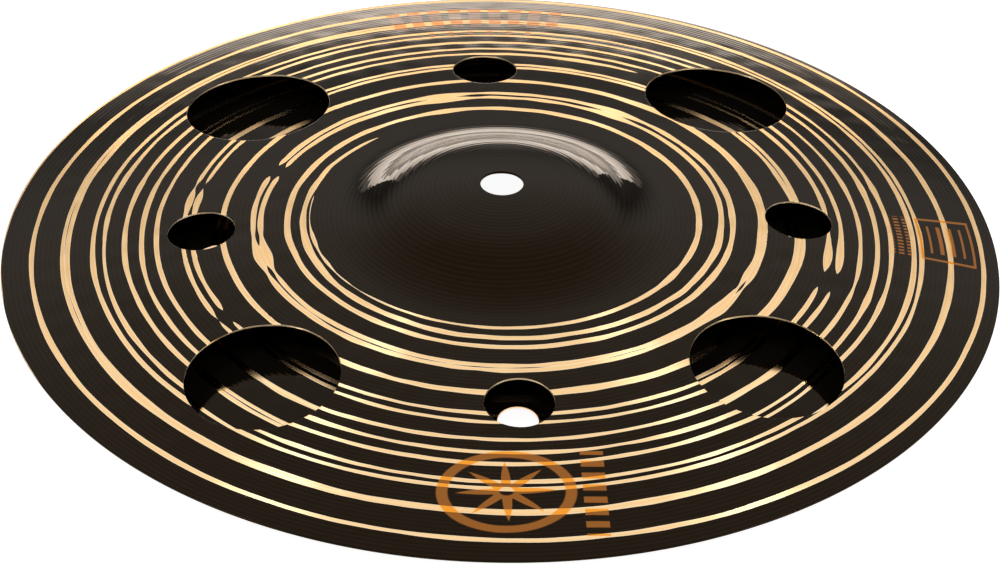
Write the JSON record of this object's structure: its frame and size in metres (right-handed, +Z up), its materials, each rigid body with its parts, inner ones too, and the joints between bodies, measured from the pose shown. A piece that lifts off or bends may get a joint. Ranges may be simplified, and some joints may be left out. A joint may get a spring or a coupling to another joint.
{
  "type": "cymbal stack",
  "caption": "Pierced cymbal stack: a thin bell-up crash with round holes, nested on a deeper bottom cymbal with an upturned lip, on one stand bore.",
  "frame": {"origin": "on the common axis of both cymbals, level with the lowest ring of the bottom cymbal, where the stack stands on a table", "axes": "+Z up along the axis through the bells; +X and +Y through the small holes of both cymbals"},
  "size_m": [0.3048, 0.3048, 0.0316],
  "materials": {
    "top_bronze": "lathed bronze under a dark gloss coat, with a bright turned spiral cut through it",
    "bottom_bronze": "lathed bronze under a dark gloss coat, with a bright turned spiral cut through it"
  },
  "bodies": {
    "bottom": {"bottom_cymbal": "bottom_bronze"},
    "top": {"top_cymbal": "top_bronze"}
  },
  "joints": [
    {"name": "top_turn", "type": "hinge", "parent": "bottom", "child": "top", "pos_m": [0, 0, 0.0317], "axis": [0, 0, 1], "continuous": true}
  ]
}
